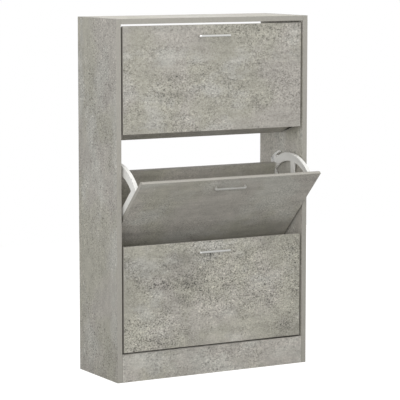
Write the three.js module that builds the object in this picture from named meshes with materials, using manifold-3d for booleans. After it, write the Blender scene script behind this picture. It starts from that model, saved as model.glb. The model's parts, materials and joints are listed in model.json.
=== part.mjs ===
// A tall, shallow shoe cabinet in concrete-look board: an open-backed carcass on a plinth, and three
// flap trays. Each tray tips forward on two pivot pins and comes to rest with its flap at 45 degrees.
// Millimetres. +X to the right, +Y to the back, +Z up. The origin is the middle of the plinth's foot.
import * as THREE from "three";
import { mergeVertices } from "three/addons/utils/BufferGeometryUtils.js";
import Module from "manifold-3d";

const wasm = await Module();
wasm.setup();

// Carcass
const WIDTH = 630;
const DEPTH = 240;
const HEIGHT = 1030;
const BOARD = 15;
const PLINTH_HEIGHT = 80;
const PLINTH_BEVEL_DEPTH = 9;
const PLINTH_BEVEL_DROP = 6.4;
const FLOOR_PANEL_LIFT = 30;
const RAIL_HEIGHT = 80;
const RAIL_LIFTS = [95.5, 25, 119.5]; // from each flap's foot to the foot of the back rail behind it
const JOINT_GAP = 0.3; // between two pieces that meet

// Flaps
const TRAY_NAMES = ["lower", "middle", "upper"];
const OPEN_TRAY = "middle";
const OPEN_ANGLE = 45;
const FLAP_THICKNESS = 12;
const FLAP_RECESS = 2;
const FLAP_SIDE_GAP = 6.5;
const FLAP_GAP = 6.5;
const FLAP_TOP_GAP = 5.5;
const FLAP_FOOT_GAP = 4.5;
const FLAP_BEVEL_DEPTH = 5.5;
const FLAP_BEVEL_DROP = 3.8;

// Pivots, measured from the cabinet's front and the flap's foot
const PIVOT_Y = 92.5;
const PIVOT_Z = 107;
const PIN_RADIUS = 4.5;
const PIN_CLEARANCE = 0.3;
const PIN_COLLAR_RADIUS = 8;
const PIN_SPIGOT_RADIUS = 4;
const PIN_SPIGOT_LENGTH = 10;
const HUB_RADIUS = 11;
const HUB_PLATE_RADIUS = 18;
const HUB_INWARD = 4;
const HUB_OUTWARD = 4.5;
const PEG_RADIUS = 3;
const PEG_SPIGOT_RADIUS = 2.5;
const PEG_SPIGOT_LENGTH = 9;
const PEG_PLATE_GAP = 0.7;
const STOP_GAP = 0.4;

// Tray boards: the bottom one falls towards the back, the back one leans away from the flap
const BOTTOM_BOARD_THICKNESS = 10;
const BOTTOM_BOARD_LIFT = 3.4;
const BACK_BOARD_THICKNESS = 12;
const BACK_BOARD_LEAN = 28.5;
const BACK_BOARD_INSET = 5.4; // from its top edge to the rim's outer edge
const TRAY_CORNER_GAP = 121; // from the tray's lower rear corner to the back rails
const TRAY_CORNER_DROP = 25.2; // below the flap's foot

// Side brackets: a rim round a centre of its own, struts over the boards' ends, a hub and a hook
const PLATE = 3;
const RIM_CENTRE_Z = 112;
const RIM_TOP_GAP = 40; // below the flap's top, clear of the foot of the flap above as it swings
const RIM_WIDTH = 25;
const RIM_FOOT_ANGLE = 5;
const FLANGE = 2.5;
const FLANGE_REACH = 8;
const FLANGE_START_ANGLE = 38;
const FRONT_LEG = 18;
const BOTTOM_LEG = 14;
const BACK_LEG = 12;
const CROSSBAR = 24;
const SPOKE = 12;
const SPOKE_HEAD = 24; // its width where it runs into the rim
const SPOKE_DROP = 4;
const HUB_LEG = 14;
const HOOK_GAP = 8;
const HOOK_WIDTH = 6;
const HOOK_REAR_GAP = 14;
const HOOK_ROOT_ANGLE = 14;
const HOOK_TIP_ANGLE = 22;
const HOOK_GUSSET = 45;
const STOP_RAISE = 4.5;
const STOP_RADIUS = 4;
const PEG_RIM_OFFSET = 3; // the peg's centre beyond the rim when it lies in the hook

// Handles and fasteners
const HANDLE_HOLES = 96;
const HANDLE_FOOT = 8;
const HANDLE_SECTION = 5.5;
const HANDLE_BAR = 5;
const HANDLE_REACH = 12;
const HANDLE_CORNER = 5;
const HANDLE_DROP = 31.5;
const SCREW_RADIUS = 1.5;
const SCREW_HEAD_RADIUS = 4;
const SCREW_HEAD = 2.5;
const SCREW_IN_HANDLE = 7;
const SCREW_CLEARANCE = 0.4;
const CAM_RADIUS = 7.5;
const CAM_DEPTH = 12;
const CAM_INSET = 34;
const CAM_EDGE = 45;

const ROUND = 16;
const ARC_STEP = 6;

// Sizes that follow from the ones above
const INNER_HALF = WIDTH / 2 - BOARD;
const FLAP_HALF = INNER_HALF - FLAP_SIDE_GAP;
const FLAP_COUNT = TRAY_NAMES.length;
const FLAP_SPACE = HEIGHT - BOARD - PLINTH_HEIGHT - FLAP_TOP_GAP - FLAP_FOOT_GAP;
const FLAP_HEIGHT = (FLAP_SPACE - FLAP_GAP * (FLAP_COUNT - 1)) / FLAP_COUNT;
const FLAP_FOOT_Z = PLINTH_HEIGHT + FLAP_FOOT_GAP;
const FLAP_BACK = FLAP_RECESS + FLAP_THICKNESS;
const PLATE_IN = FLAP_HALF - PLATE;
const RIM_RADIUS = FLAP_HEIGHT - RIM_TOP_GAP - RIM_CENTRE_Z;
const RIM_REACH = RIM_RADIUS + HOOK_GAP + HOOK_WIDTH;
const RIM_CENTRE = new THREE.Vector2(DEPTH - BOARD - HOOK_REAR_GAP - RIM_REACH, RIM_CENTRE_Z);

const finishes = {
  board: { color: 0xa6a49c, roughness: 0.62, metalness: 0 },
  plastic: { color: 0xe6e6e2, roughness: 0.45, metalness: 0 },
  metal: { color: 0xc9c9c5, roughness: 0.3, metalness: 1 },
};

function radians(angle) {
  return (angle * Math.PI) / 180;
}

function polar(centre, radius, angle) {
  return new THREE.Vector2(
    centre.x + radius * Math.cos(radians(angle)),
    centre.y + radius * Math.sin(radians(angle)),
  );
}

function degrees(angle) {
  return (angle * 180) / Math.PI;
}

function bearing(centre, point) {
  return degrees(Math.atan2(point.y - centre.y, point.x - centre.x));
}

// The point where the line from p along d meets the line from q along e.
function meet(p, d, q, e) {
  const cross = d.x * e.y - d.y * e.x;
  const t = ((q.x - p.x) * e.y - (q.y - p.y) * e.x) / cross;
  return p.clone().addScaledVector(d, t);
}

// The point where the line from p along d leaves a circle.
function meetCircle(p, d, centre, radius) {
  const offset = p.clone().sub(centre);
  const half = offset.dot(d);
  return along(p, d, -half + Math.sqrt(half * half - offset.lengthSq() + radius * radius));
}

function along(p, d, distance) {
  return p.clone().addScaledVector(d, distance);
}

// A closed geometry and the solid that it bounds, each way.
function solid(geometry) {
  const bare = geometry.clone();
  bare.deleteAttribute("normal");
  bare.deleteAttribute("uv");
  const merged = mergeVertices(bare, 1e-4);
  return new wasm.Manifold(
    new wasm.Mesh({
      numProp: 3,
      vertProperties: new Float32Array(merged.attributes.position.array),
      triVerts: new Uint32Array(merged.index.array),
    }),
  );
}

function geometryOf(body) {
  const mesh = body.getMesh();
  const geometry = new THREE.BufferGeometry();
  geometry.setAttribute("position", new THREE.BufferAttribute(mesh.vertProperties, 3));
  geometry.setIndex(new THREE.BufferAttribute(mesh.triVerts, 1));
  geometry.computeVertexNormals();
  return geometry;
}

function joined(bodies) {
  return bodies.reduce((sum, body) => sum.add(body));
}

function drilled(body, holes) {
  return holes.reduce((rest, hole) => rest.subtract(hole), body);
}

function box(x0, x1, y0, y1, z0, z1) {
  const geometry = new THREE.BoxGeometry(x1 - x0, y1 - y0, z1 - z0);
  return geometry.translate((x0 + x1) / 2, (y0 + y1) / 2, (z0 + z1) / 2);
}

// An outline in the Y-Z plane, extruded along X from one place to the other, whichever is lower.
function profileX(points, xa, xb) {
  const shape = new THREE.Shape(points);
  const geometry = new THREE.ExtrudeGeometry(shape, { depth: Math.abs(xb - xa), bevelEnabled: false });
  const basis = new THREE.Matrix4().makeBasis(
    new THREE.Vector3(0, 1, 0),
    new THREE.Vector3(0, 0, 1),
    new THREE.Vector3(1, 0, 0),
  );
  return geometry.applyMatrix4(basis).translate(Math.min(xa, xb), 0, 0);
}

function cylinder(axis, radius, from, to, u, v) {
  const geometry = new THREE.CylinderGeometry(radius, radius, Math.abs(to - from), ROUND);
  const middle = (from + to) / 2;
  if (axis === "x") return geometry.rotateZ(Math.PI / 2).translate(middle, u, v);
  if (axis === "y") return geometry.translate(u, middle, v);
  return geometry.rotateX(Math.PI / 2).translate(u, v, middle);
}

// A band of a ring in the Y-Z plane, between two angles. Its corners lie on whole steps, so that bands
// round one centre share their facets.
function arcBand(centre, inner, outer, fromAngle, toAngle, xa, xb) {
  const angles = [fromAngle];
  for (let angle = Math.ceil(fromAngle / ARC_STEP) * ARC_STEP; angle < toAngle; angle += ARC_STEP) {
    if (angle > fromAngle) angles.push(angle);
  }
  angles.push(toAngle);
  const outside = angles.map((angle) => polar(centre, outer, angle));
  const inside = angles.map((angle) => polar(centre, inner, angle)).reverse();
  return profileX([...outside, ...inside], xa, xb);
}

// A flat strut whose one edge runs from p to q and whose width lies to the left of that line.
function strut(p, q, width, xa, xb) {
  const run = q.clone().sub(p).normalize();
  const left = new THREE.Vector2(-run.y, run.x);
  return profileX([p, q, along(q, left, width), along(p, left, width)], xa, xb);
}

function centredStrut(p, q, width, xa, xb) {
  const run = q.clone().sub(p).normalize();
  const right = new THREE.Vector2(run.y, -run.x);
  return strut(along(p, right, width / 2), along(q, right, width / 2), width, xa, xb);
}

function named(name, geometry, finish) {
  const mesh = new THREE.Mesh(geometry, new THREE.MeshStandardMaterial(finishes[finish]));
  mesh.name = name;
  return mesh;
}

// Tray geometry that several pieces share, in the flap's own frame: y from the cabinet's front, z from
// the flap's foot.
const bottomFront = new THREE.Vector2(FLAP_BACK + JOINT_GAP, BOTTOM_BOARD_LIFT);
const trayCorner = new THREE.Vector2(DEPTH - BOARD - TRAY_CORNER_GAP, -TRAY_CORNER_DROP);
const bottomRun = trayCorner.clone().sub(bottomFront).normalize();
const bottomUp = new THREE.Vector2(-bottomRun.y, bottomRun.x);
const backRun = new THREE.Vector2(0, 1).rotateAround(new THREE.Vector2(), radians(-BACK_BOARD_LEAN));
const backIn = new THREE.Vector2(-backRun.y, backRun.x);
const trayBackTop = meetCircle(trayCorner, backRun, RIM_CENTRE, RIM_RADIUS - BACK_BOARD_INSET);
const pivot = new THREE.Vector2(PIVOT_Y, PIVOT_Z);

// The peg lies in the hook when the tray is open, and meets the stop boss when it is closed.
const pegRimRadius = RIM_RADIUS + PEG_RIM_OFFSET;
const pegRootAngle = degrees(Math.asin((PEG_RADIUS + STOP_GAP) / pegRimRadius));
const pegOpen = polar(RIM_CENTRE, pegRimRadius, HOOK_ROOT_ANGLE + pegRootAngle);
const pegArm = pegOpen.distanceTo(pivot);
const pegOpenAngle = bearing(pivot, pegOpen);
const pegPlace = polar(pivot, pegArm, pegOpenAngle + OPEN_ANGLE);
const stopAngle = degrees((PEG_RADIUS + STOP_RADIUS + STOP_GAP) / pegArm);
const stopPlace = polar(pivot, pegArm, pegOpenAngle + OPEN_ANGLE + stopAngle);

function flapFootZ(index) {
  return FLAP_FOOT_Z + index * (FLAP_HEIGHT + FLAP_GAP);
}

// Carcass pieces

function sidePanel(side) {
  const inner = side * INNER_HALF;
  const holes = [];
  TRAY_NAMES.forEach((name, index) => {
    const foot = flapFootZ(index);
    const pinDepth = side * (INNER_HALF + PIN_SPIGOT_LENGTH + JOINT_GAP);
    const pegDepth = side * (INNER_HALF + PEG_SPIGOT_LENGTH + JOINT_GAP);
    const mouth = inner - side;
    const pinHole = PIN_SPIGOT_RADIUS + JOINT_GAP;
    const pegHole = PEG_SPIGOT_RADIUS + JOINT_GAP;
    holes.push(solid(cylinder("x", pinHole, mouth, pinDepth, pivot.x, foot + pivot.y)));
    holes.push(solid(cylinder("x", pegHole, mouth, pegDepth, pegPlace.x, foot + pegPlace.y)));
  });
  const outer = side * (WIDTH / 2);
  const panel = box(Math.min(inner, outer), Math.max(inner, outer), 0, DEPTH, 0, HEIGHT);
  return geometryOf(drilled(solid(panel), holes));
}

const panelHalf = INNER_HALF - JOINT_GAP;
const camX = INNER_HALF - CAM_INSET;
const camHole = CAM_RADIUS + JOINT_GAP;
const camHoleDepth = CAM_DEPTH + JOINT_GAP;

function topPanel(camPlaces) {
  const under = HEIGHT - BOARD;
  const holes = camPlaces.map((p) =>
    solid(cylinder("z", camHole, under - 1, under + camHoleDepth, p.x, p.y)),
  );
  return geometryOf(drilled(solid(box(-panelHalf, panelHalf, 0, DEPTH, under, HEIGHT)), holes));
}

function plinth() {
  const outline = [
    new THREE.Vector2(0, 0),
    new THREE.Vector2(BOARD, 0),
    new THREE.Vector2(BOARD, PLINTH_HEIGHT - PLINTH_BEVEL_DROP),
    new THREE.Vector2(BOARD - PLINTH_BEVEL_DEPTH, PLINTH_HEIGHT),
    new THREE.Vector2(0, PLINTH_HEIGHT),
  ];
  const holes = [-camX, camX].map((x) =>
    solid(cylinder("y", camHole, BOARD - camHoleDepth, BOARD + 1, x, PLINTH_HEIGHT / 2)),
  );
  return geometryOf(drilled(solid(profileX(outline, -panelHalf, panelHalf)), holes));
}

function backRail(foot) {
  const rail = box(-panelHalf, panelHalf, DEPTH - BOARD, DEPTH, foot, foot + RAIL_HEIGHT);
  const holes = [-camX, camX].map((x) =>
    solid(cylinder("y", camHole, DEPTH - camHoleDepth, DEPTH + 1, x, foot + RAIL_HEIGHT / 2)),
  );
  return geometryOf(drilled(solid(rail), holes));
}

// A turned piece on a line along X: each step is a radius and how far it reaches into the cabinet.
function turned(steps, side, y, z) {
  const profile = [new THREE.Vector2(0, steps[0].from)];
  for (const step of steps) {
    profile.push(new THREE.Vector2(step.radius, step.from));
    profile.push(new THREE.Vector2(step.radius, step.to));
  }
  profile.push(new THREE.Vector2(0, steps[steps.length - 1].to));
  const geometry = new THREE.LatheGeometry(profile, ROUND);
  return geometry.rotateZ(side * (Math.PI / 2)).translate(side * INNER_HALF, y, z);
}

function pivotPin(side, z) {
  const hubFace = FLAP_SIDE_GAP - HUB_OUTWARD;
  const hubEnd = FLAP_SIDE_GAP + PLATE + HUB_INWARD;
  const steps = [
    { radius: PIN_SPIGOT_RADIUS, from: -PIN_SPIGOT_LENGTH, to: JOINT_GAP },
    { radius: PIN_COLLAR_RADIUS, from: JOINT_GAP, to: hubFace - JOINT_GAP },
    { radius: PIN_RADIUS, from: hubFace - JOINT_GAP, to: hubEnd + 1 },
    { radius: PIN_RADIUS - 1, from: hubEnd + 2, to: hubEnd + 2 },
  ];
  return turned(steps, side, pivot.x, z + pivot.y);
}

function guidePeg(side, z) {
  const reach = FLAP_SIDE_GAP - PEG_PLATE_GAP;
  const steps = [
    { radius: PEG_SPIGOT_RADIUS, from: -PEG_SPIGOT_LENGTH, to: JOINT_GAP },
    { radius: PEG_RADIUS, from: JOINT_GAP, to: reach },
  ];
  return turned(steps, side, pegPlace.x, z + pegPlace.y);
}

function carcass() {
  const group = new THREE.Group();
  group.add(named("side_panel_left", sidePanel(-1), "board"));
  group.add(named("side_panel_right", sidePanel(1), "board"));

  const camPlaces = [];
  for (const x of [-camX, camX]) {
    for (const y of [CAM_EDGE, DEPTH - CAM_EDGE]) camPlaces.push(new THREE.Vector2(x, y));
  }
  group.add(named("top_panel", topPanel(camPlaces), "board"));
  const under = HEIGHT - BOARD;
  camPlaces.forEach((p, i) => {
    const cam = cylinder("z", CAM_RADIUS, under, under + CAM_DEPTH, p.x, p.y);
    group.add(named(`cam_lock_top_${i + 1}`, cam, "metal"));
  });

  const floorTop = FLOOR_PANEL_LIFT + BOARD;
  const floorPanel = box(-panelHalf, panelHalf, BOARD + JOINT_GAP, DEPTH, FLOOR_PANEL_LIFT, floorTop);
  group.add(named("bottom_panel", floorPanel, "board"));

  group.add(named("plinth", plinth(), "board"));
  ["left", "right"].forEach((hand, i) => {
    const x = i === 0 ? -camX : camX;
    const cam = cylinder("y", CAM_RADIUS, BOARD - CAM_DEPTH, BOARD, x, PLINTH_HEIGHT / 2);
    group.add(named(`cam_lock_plinth_${hand}`, cam, "metal"));
  });

  TRAY_NAMES.forEach((level, index) => {
    const foot = flapFootZ(index) + RAIL_LIFTS[index];
    group.add(named(`back_rail_${level}`, backRail(foot), "board"));
    ["left", "right"].forEach((hand, i) => {
      const x = i === 0 ? -camX : camX;
      const cam = cylinder("y", CAM_RADIUS, DEPTH - CAM_DEPTH, DEPTH, x, foot + RAIL_HEIGHT / 2);
      group.add(named(`cam_lock_rail_${level}_${hand}`, cam, "metal"));
    });
    [-1, 1].forEach((side) => {
      const hand = side < 0 ? "left" : "right";
      group.add(named(`pivot_pin_${level}_${hand}`, pivotPin(side, flapFootZ(index)), "metal"));
      group.add(named(`guide_peg_${level}_${hand}`, guidePeg(side, flapFootZ(index)), "plastic"));
    });
  });
  return group;
}

// Tray pieces

function flapFront() {
  const outline = [
    new THREE.Vector2(FLAP_RECESS, 0),
    new THREE.Vector2(FLAP_BACK, 0),
    new THREE.Vector2(FLAP_BACK, FLAP_HEIGHT - FLAP_BEVEL_DROP),
    new THREE.Vector2(FLAP_BACK - FLAP_BEVEL_DEPTH, FLAP_HEIGHT),
    new THREE.Vector2(FLAP_RECESS, FLAP_HEIGHT),
  ];
  const hole = SCREW_RADIUS + SCREW_CLEARANCE;
  const z = FLAP_HEIGHT - HANDLE_DROP;
  const holes = [-1, 1].map((side) =>
    solid(cylinder("y", hole, FLAP_RECESS - 1, FLAP_BACK + 1, (side * HANDLE_HOLES) / 2, z)),
  );
  return geometryOf(drilled(solid(profileX(outline, -FLAP_HALF, FLAP_HALF)), holes));
}

const boardHalf = PLATE_IN - JOINT_GAP;
const bottomTop = along(bottomFront, bottomUp, BOTTOM_BOARD_THICKNESS);

function bottomBoard() {
  const upright = new THREE.Vector2(0, 1);
  const outline = [
    bottomFront,
    trayCorner,
    meet(bottomTop, bottomRun, trayCorner, backRun),
    meet(bottomTop, bottomRun, bottomFront, upright),
  ];
  return profileX(outline, -boardHalf, boardHalf);
}

function backBoard() {
  const seat = along(bottomTop, bottomUp, JOINT_GAP);
  const innerTop = along(trayBackTop, backIn, BACK_BOARD_THICKNESS);
  const outline = [
    meet(seat, bottomRun, trayCorner, backRun),
    trayBackTop,
    innerTop,
    meet(seat, bottomRun, innerTop, backRun),
  ];
  return profileX(outline, -boardHalf, boardHalf);
}

function bracket(side) {
  const outer = side * FLAP_HALF;
  const inner = side * PLATE_IN;
  const flangeEnd = side * (PLATE_IN - FLANGE_REACH);
  const raised = side * (FLAP_HALF + STOP_RAISE);
  const frontY = FLAP_BACK + JOINT_GAP;
  const rimInner = RIM_RADIUS - RIM_WIDTH;
  const rimTopAngle = degrees(Math.acos((frontY - RIM_CENTRE.x) / RIM_RADIUS));
  const rimTop = polar(RIM_CENTRE, RIM_RADIUS, rimTopAngle);
  const hookInner = RIM_RADIUS + HOOK_GAP;
  const hookOuter = hookInner + HOOK_WIDTH;
  const hookTip = polar(RIM_CENTRE, (hookInner + hookOuter) / 2, HOOK_TIP_ANGLE);
  const hookHeel = polar(RIM_CENTRE, hookOuter, RIM_FOOT_ANGLE);
  const gussetFoot = along(trayBackTop, backRun, -HOOK_GUSSET);
  const crossbarMeet = meet(pivot, new THREE.Vector2(1, 0), trayCorner, backRun);
  const crossbarEnd = along(crossbarMeet, backIn, BACK_LEG / 2);
  const legFoot = new THREE.Vector2(frontY + FRONT_LEG, BOTTOM_BOARD_LIFT);
  const legTop = new THREE.Vector2(frontY + FRONT_LEG, rimTop.y - FLANGE);
  const stopRoot = polar(RIM_CENTRE, RIM_RADIUS - RIM_WIDTH / 2, bearing(RIM_CENTRE, stopPlace));
  const legMiddle = new THREE.Vector2(frontY + FRONT_LEG / 2, pivot.y);
  const spokeFoot = new THREE.Vector2(legMiddle.x, pivot.y - SPOKE_DROP + FRONT_LEG / 2);
  const spokeHead = along(stopPlace, new THREE.Vector2(1, 1).normalize(), SPOKE / 2);
  const spokeRight = new THREE.Vector2(spokeHead.y - spokeFoot.y, spokeFoot.x - spokeHead.x).normalize();
  const hubLegMeet = along(bottomFront, bottomRun, pivot.x - bottomFront.x);
  const hubLegFoot = along(hubLegMeet, bottomUp, PLATE);

  const plates = [
    strut(legFoot, legTop, FRONT_LEG, outer, inner),
    strut(bottomFront, trayCorner, BOTTOM_LEG, outer, inner),
    strut(trayCorner, trayBackTop, BACK_LEG, outer, inner),
    centredStrut(legMiddle, crossbarEnd, CROSSBAR, outer, inner),
    centredStrut(pivot, hubLegFoot, HUB_LEG, outer, inner),
    profileX(
      [
        along(spokeFoot, spokeRight, SPOKE / 2),
        along(spokeHead, spokeRight, SPOKE_HEAD / 2),
        along(spokeHead, spokeRight, -SPOKE_HEAD / 2),
        along(spokeFoot, spokeRight, -SPOKE / 2),
      ],
      outer,
      inner,
    ),
    centredStrut(stopPlace, stopRoot, STOP_RADIUS * 2, outer, inner),
    arcBand(RIM_CENTRE, rimInner, RIM_RADIUS, RIM_FOOT_ANGLE, rimTopAngle, outer, inner),
    profileX([polar(RIM_CENTRE, rimInner, RIM_FOOT_ANGLE), gussetFoot, hookHeel], outer, inner),
    cylinder("x", HUB_PLATE_RADIUS, inner, outer, pivot.x, pivot.y),
  ];
  const raisedPlates = [
    arcBand(RIM_CENTRE, rimInner, hookOuter, RIM_FOOT_ANGLE, HOOK_ROOT_ANGLE, raised, inner),
    arcBand(RIM_CENTRE, hookInner, hookOuter, RIM_FOOT_ANGLE, HOOK_TIP_ANGLE, raised, inner),
    cylinder("x", HOOK_WIDTH / 2, inner, raised, hookTip.x, hookTip.y),
    cylinder("x", STOP_RADIUS, inner, raised, stopPlace.x, stopPlace.y),
  ];
  const hubInner = side * (PLATE_IN - HUB_INWARD);
  const hubOuter = side * (FLAP_HALF + HUB_OUTWARD);
  const hub = cylinder("x", HUB_RADIUS, hubInner, hubOuter, pivot.x, pivot.y);
  const flanges = [
    arcBand(RIM_CENTRE, RIM_RADIUS - FLANGE, RIM_RADIUS, FLANGE_START_ANGLE, rimTopAngle, outer, flangeEnd),
    strut(
      new THREE.Vector2(frontY + FLANGE, BOTTOM_LEG + FLANGE),
      new THREE.Vector2(frontY + FLANGE, rimTop.y - FLANGE),
      FLANGE,
      outer,
      flangeEnd,
    ),
  ];
  const body = joined([...plates, ...raisedPlates, hub, ...flanges].map(solid));
  const boreRadius = PIN_RADIUS + PIN_CLEARANCE;
  const bore = cylinder("x", boreRadius, hubInner - side, hubOuter + side, pivot.x, pivot.y);
  return geometryOf(body.subtract(solid(bore)));
}

// A bow handle cut from flat bar: two feet and a straight grip with rounded outer corners.
function handle() {
  const half = (HANDLE_HOLES + HANDLE_FOOT) / 2;
  const face = FLAP_RECESS - JOINT_GAP;
  const front = face - HANDLE_REACH;
  const back = front + HANDLE_BAR;
  const outline = new THREE.Shape();
  outline.moveTo(-half, face);
  outline.lineTo(-half, front + HANDLE_CORNER);
  outline.absarc(-half + HANDLE_CORNER, front + HANDLE_CORNER, HANDLE_CORNER, Math.PI, 1.5 * Math.PI);
  outline.lineTo(half - HANDLE_CORNER, front);
  outline.absarc(half - HANDLE_CORNER, front + HANDLE_CORNER, HANDLE_CORNER, -0.5 * Math.PI, 0);
  outline.lineTo(half, face);
  outline.lineTo(half - HANDLE_FOOT, face);
  outline.lineTo(half - HANDLE_FOOT, back);
  outline.lineTo(-half + HANDLE_FOOT, back);
  outline.lineTo(-half + HANDLE_FOOT, face);
  const middle = FLAP_HEIGHT - HANDLE_DROP;
  const bow = new THREE.ExtrudeGeometry(outline, {
    depth: HANDLE_SECTION,
    bevelEnabled: false,
    curveSegments: 5,
  }).translate(0, 0, middle - HANDLE_SECTION / 2);
  const hole = SCREW_RADIUS + JOINT_GAP;
  const holes = [-1, 1].map((side) =>
    solid(cylinder("y", hole, face - SCREW_IN_HANDLE - 1, face + 1, (side * HANDLE_HOLES) / 2, middle)),
  );
  return geometryOf(drilled(solid(bow), holes));
}

function handleScrew(side) {
  const headFoot = FLAP_BACK + JOINT_GAP;
  const tip = FLAP_RECESS - JOINT_GAP - SCREW_IN_HANDLE;
  const profile = [
    new THREE.Vector2(0, tip),
    new THREE.Vector2(SCREW_RADIUS, tip),
    new THREE.Vector2(SCREW_RADIUS, headFoot),
    new THREE.Vector2(SCREW_HEAD_RADIUS, headFoot),
    new THREE.Vector2(SCREW_HEAD_RADIUS - 1, headFoot + SCREW_HEAD),
    new THREE.Vector2(0, headFoot + SCREW_HEAD),
  ];
  const z = FLAP_HEIGHT - HANDLE_DROP;
  return new THREE.LatheGeometry(profile, ROUND / 2).translate((side * HANDLE_HOLES) / 2, 0, z);
}

function tray(level, index) {
  const pieces = new THREE.Group();
  pieces.add(named(`flap_front_${level}`, flapFront(), "board"));
  pieces.add(named(`bottom_board_${level}`, bottomBoard(), "board"));
  pieces.add(named(`back_board_${level}`, backBoard(), "board"));
  pieces.add(named(`bracket_${level}_left`, bracket(-1), "plastic"));
  pieces.add(named(`bracket_${level}_right`, bracket(1), "plastic"));
  pieces.add(named(`handle_${level}`, handle(), "metal"));
  pieces.add(named(`handle_screw_${level}_left`, handleScrew(-1), "metal"));
  pieces.add(named(`handle_screw_${level}_right`, handleScrew(1), "metal"));
  pieces.position.set(0, -pivot.x, -pivot.y);

  const swing = new THREE.Group();
  swing.add(pieces);
  swing.position.set(0, pivot.x, flapFootZ(index) + pivot.y);
  swing.rotation.x = level === OPEN_TRAY ? radians(OPEN_ANGLE) : 0;
  return swing;
}

const cabinet = new THREE.Group();
cabinet.add(carcass());
TRAY_NAMES.forEach((level, index) => cabinet.add(tray(level, index)));
cabinet.position.y = -BOARD / 2;

const part = new THREE.Group();
part.add(cabinet);

export default part;
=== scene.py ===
import json
import math

import bmesh
import bpy
from mathutils import Matrix, Vector
from mathutils.geometry import convex_hull_2d


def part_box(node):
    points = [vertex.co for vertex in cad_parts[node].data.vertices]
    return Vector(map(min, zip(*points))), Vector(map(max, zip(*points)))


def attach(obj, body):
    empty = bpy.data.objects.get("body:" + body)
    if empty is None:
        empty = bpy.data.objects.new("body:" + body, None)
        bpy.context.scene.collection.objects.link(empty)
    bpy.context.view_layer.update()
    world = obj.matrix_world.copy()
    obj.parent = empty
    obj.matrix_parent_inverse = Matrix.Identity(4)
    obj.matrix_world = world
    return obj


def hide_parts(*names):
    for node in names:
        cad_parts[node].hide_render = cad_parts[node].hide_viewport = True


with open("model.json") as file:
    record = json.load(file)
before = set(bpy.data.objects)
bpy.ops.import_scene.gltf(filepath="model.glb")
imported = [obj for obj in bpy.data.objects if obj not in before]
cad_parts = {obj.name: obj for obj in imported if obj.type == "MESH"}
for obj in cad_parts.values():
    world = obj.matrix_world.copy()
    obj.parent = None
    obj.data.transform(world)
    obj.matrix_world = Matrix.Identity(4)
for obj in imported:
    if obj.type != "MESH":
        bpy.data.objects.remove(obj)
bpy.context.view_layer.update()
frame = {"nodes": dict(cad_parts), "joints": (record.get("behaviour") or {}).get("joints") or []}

# ---------------------------------------------------------------------------------------------------
# Studio. The cabinet stands on a plain white floor in a white room, lit softly from above and from
# the front, and is looked at from its front left corner with a long lens.
camera_place = Vector((-3.010, -5.215, 1.235))
camera_yaw = math.radians(-29.64)
camera_pitch = math.radians(90 - 6.918)
camera_data = bpy.data.cameras.new("studio_camera")
camera_data.sensor_width = 36.0
camera_data.lens = 189.4
camera_data.clip_end = 200.0
camera = bpy.data.objects.new("studio_camera", camera_data)
camera.location = camera_place
camera.rotation_euler = (camera_pitch, 0.0, camera_yaw)
bpy.context.scene.collection.objects.link(camera)
bpy.context.scene.camera = camera
bpy.context.scene.view_settings.view_transform = "Standard"


def wire(tree, source, target):
    """Links one socket to another."""
    tree.links.new(source, target)


def node(tree, kind, settings=None, **values):
    """Adds a node, sets its properties from settings and its inputs from the rest."""
    made = tree.nodes.new(kind)
    for key, value in (settings or {}).items():
        setattr(made, key, value)
    for key, value in values.items():
        made.inputs[key.replace("_", " ")].default_value = value
    return made


def blank_material(name):
    """A new material with an empty node tree and its output node."""
    material = bpy.data.materials.new(name)
    material.use_nodes = True
    material.node_tree.nodes.clear()
    return material, material.node_tree, material.node_tree.nodes.new("ShaderNodeOutputMaterial")


room = bpy.data.worlds.new("white_room")
room.use_nodes = True
room.node_tree.nodes.clear()
room_seen = node(room.node_tree, "ShaderNodeBackground", Color=(1, 1, 1, 1), Strength=1.0)
room_light = node(room.node_tree, "ShaderNodeBackground", Color=(1, 1, 1, 1), Strength=0.78)
room_rays = node(room.node_tree, "ShaderNodeLightPath")
room_mix = node(room.node_tree, "ShaderNodeMixShader")
room_out = node(room.node_tree, "ShaderNodeOutputWorld")
wire(room.node_tree, room_rays.outputs["Is Camera Ray"], room_mix.inputs[0])
wire(room.node_tree, room_light.outputs[0], room_mix.inputs[1])
wire(room.node_tree, room_seen.outputs[0], room_mix.inputs[2])
wire(room.node_tree, room_mix.outputs[0], room_out.inputs[0])
bpy.context.scene.world = room

floor_half = 2.6
floor_corners = [(x * floor_half, y * floor_half, 0) for x, y in ((-1, -1), (1, -1), (1, 1), (-1, 1))]
floor_mesh = bpy.data.meshes.new("studio_floor")
floor_mesh.from_pydata(floor_corners, [], [(0, 1, 2, 3)])
floor = bpy.data.objects.new("studio_floor", floor_mesh)
bpy.context.scene.collection.objects.link(floor)
floor_material, floor_tree, floor_out = blank_material("floor_white")
floor_paint = node(floor_tree, "ShaderNodeBsdfDiffuse", Color=(0.36, 0.36, 0.35, 1))
floor_glow = node(floor_tree, "ShaderNodeEmission", Color=(1, 1, 1, 1), Strength=0.85)
floor_both = node(floor_tree, "ShaderNodeAddShader")
floor_pick = node(floor_tree, "ShaderNodeMixShader")
floor_rays = node(floor_tree, "ShaderNodeLightPath")
wire(floor_tree, floor_paint.outputs[0], floor_both.inputs[0])
wire(floor_tree, floor_glow.outputs[0], floor_both.inputs[1])
wire(floor_tree, floor_rays.outputs["Is Camera Ray"], floor_pick.inputs[0])
wire(floor_tree, floor_paint.outputs[0], floor_pick.inputs[1])
wire(floor_tree, floor_both.outputs[0], floor_pick.inputs[2])
wire(floor_tree, floor_pick.outputs[0], floor_out.inputs[0])
floor_mesh.materials.append(floor_material)


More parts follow.
